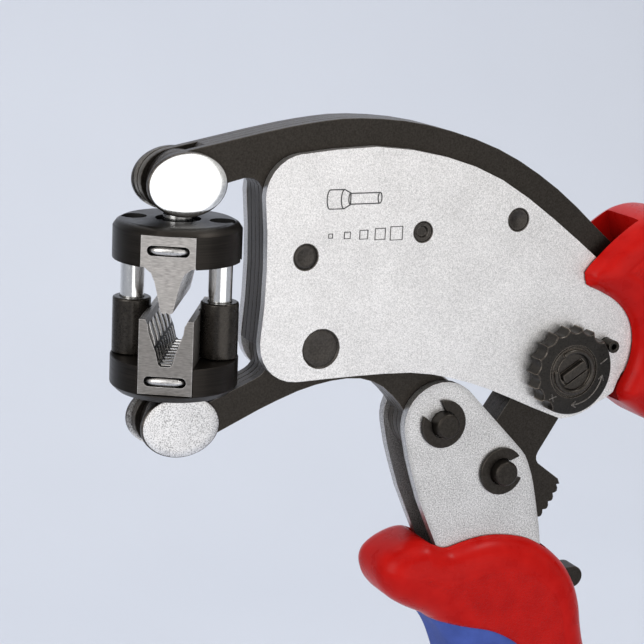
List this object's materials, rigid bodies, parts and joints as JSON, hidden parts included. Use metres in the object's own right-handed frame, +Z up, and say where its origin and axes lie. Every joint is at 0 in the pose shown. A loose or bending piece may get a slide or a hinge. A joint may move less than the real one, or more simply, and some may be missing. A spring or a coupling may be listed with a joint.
{
  "type": "ferrule crimping pliers",
  "caption": "Self-adjusting crimping pliers for wire ferrules, with a die head that turns about its own axis, a ratchet link, a setting dial and moulded two-colour grips.",
  "frame": {"origin": "middle of the upper grip, where a hand holds the tool", "axes": "+Z up, -X towards the die head, +X towards the handles, -Y the front face with the dial and the clips; the tool is flat in the XZ plane"},
  "size_m": [0.2065, 0.0268, 0.1994],
  "materials": {
    "black_steel": "burnished black steel, satin",
    "silver_plate": "bead-blasted satin",
    "bright_steel": "polished",
    "ground_steel": "ground, fine grain",
    "die_steel": "bare machined laminations",
    "spring_wire": "drawn wire",
    "red_plastic": "moulded, half gloss",
    "blue_soft": "soft inlay, matt"
  },
  "bodies": {
    "frame": {"side_plate_front": "silver_plate", "side_plate_rear": "silver_plate", "upper_arm_lamination_1": "black_steel", "upper_arm_lamination_2": "black_steel", "upper_arm_lamination_3": "black_steel", "upper_arm_lamination_4": "black_steel", "frame_rivet_front": "black_steel", "spring_anchor_pin": "black_steel", "frame_rivet_rear": "black_steel", "jaw_pivot_pin": "black_steel", "dial_stop_pin": "black_steel", "return_spring": "spring_wire", "upper_grip_shell": "red_plastic", "upper_grip_inlay": "blue_soft"},
    "lower_jaw": {"lower_jaw_lamination_1": "black_steel", "lower_jaw_lamination_2": "black_steel", "lower_jaw_lamination_3": "black_steel", "lower_jaw_lamination_4": "black_steel", "spring_tail_pin": "black_steel"},
    "lower_handle": {"handle_plate_front": "silver_plate", "handle_plate_rear": "silver_plate", "tail_pivot_pin": "black_steel", "toggle_pin": "black_steel", "tail_pivot_clip": "black_steel", "toggle_clip": "black_steel", "pawl_pin": "black_steel", "pawl_spring": "spring_wire", "lower_grip_shell": "red_plastic", "lower_grip_inlay": "blue_soft"},
    "release_pawl": {"ratchet_pawl": "black_steel", "release_lug": "black_steel"},
    "push_link": {"push_link_lamination_1": "black_steel", "push_link_lamination_2": "black_steel", "push_link_lamination_3": "black_steel", "push_link_lamination_4": "black_steel"},
    "dial": {"dial_wheel": "black_steel", "dial_shaft": "black_steel", "dial_screw": "black_steel", "dial_retaining_ring": "black_steel"},
    "upper_trunnion": {"upper_cross_bolt": "bright_steel", "upper_bolt_cap_front": "bright_steel", "upper_bolt_cap_rear": "bright_steel", "upper_head_stem": "bright_steel"},
    "upper_head": {"upper_head_body": "black_steel", "punch_pack": "die_steel", "guide_pin_left": "bright_steel", "guide_pin_right": "bright_steel", "upper_staple_front": "bright_steel", "upper_staple_rear": "bright_steel"},
    "lower_head": {"lower_head_body": "black_steel", "vee_die_pack": "die_steel", "guide_sleeve_left": "black_steel", "guide_sleeve_right": "black_steel", "lower_staple_front": "bright_steel", "lower_staple_rear": "bright_steel"},
    "lower_trunnion": {"lower_cross_bolt": "ground_steel", "lower_bolt_cap_front": "ground_steel", "lower_bolt_cap_rear": "ground_steel", "lower_head_stem": "bright_steel"}
  },
  "joints": [
    {"name": "jaw_pivot", "type": "hinge", "parent": "frame", "child": "lower_jaw", "pos_m": [-0.118, 0, 0.02], "axis": [0, 1, 0], "range_deg": [0, 18], "stiffness_Nm_per_rad": 0.17, "springref_deg": -40.11, "deforming": ["return_spring"]},
    {"name": "handle_pivot", "type": "hinge", "parent": "lower_jaw", "child": "lower_handle", "pos_m": [-0.0872, 0, 0.0009], "axis": [0, -1, 0], "range_deg": [0, 52.3]},
    {"name": "push_link_pivot", "type": "hinge", "parent": "frame", "child": "push_link", "pos_m": [-0.0566, 0, 0.0117], "axis": [0, 1, 0], "range_deg": [0, 6.4]},
    {"name": "head_tilt", "type": "hinge", "parent": "frame", "child": "upper_trunnion", "pos_m": [-0.149, 0, 0.056], "axis": [0, 1, 0], "range_deg": [0, 4.55]},
    {"name": "head_turn", "type": "hinge", "parent": "upper_trunnion", "child": "upper_head", "pos_m": [-0.149, 0, 0.044], "axis": [0, 0, 1], "continuous": true},
    {"name": "head_slide", "type": "slide", "parent": "upper_head", "child": "lower_head", "axis": [0, 0, 1], "range_m": [0, 0.0102]},
    {"name": "lower_trunnion_tilt", "type": "hinge", "parent": "lower_jaw", "child": "lower_trunnion", "pos_m": [-0.149, 0, 0.0051], "axis": [0, 1, 0], "range_deg": [-13.5, 0]},
    {"name": "dial_turn", "type": "hinge", "parent": "frame", "child": "dial", "pos_m": [-0.0566, 0, 0.0117], "axis": [0, -1, 0], "range_deg": [-80, 80]},
    {"name": "pawl_pivot", "type": "hinge", "parent": "lower_handle", "child": "release_pawl", "pos_m": [-0.0665, 0, -0.0343], "axis": [0, 1, 0], "range_deg": [0, 10], "stiffness_Nm_per_rad": 0.02, "springref_deg": -11.46, "deforming": ["pawl_spring"]}
  ],
  "couplings": [
    {"joint": "handle_pivot", "follows": "jaw_pivot", "ratio": 2.9},
    {"joint": "push_link_pivot", "follows": "jaw_pivot", "ratio": 0.353},
    {"joint": "head_tilt", "follows": "jaw_pivot", "ratio": 0.2523},
    {"joint": "head_slide", "follows": "jaw_pivot", "m_per_rad": 0.03239},
    {"joint": "lower_trunnion_tilt", "follows": "jaw_pivot", "ratio": -0.7477}
  ]
}
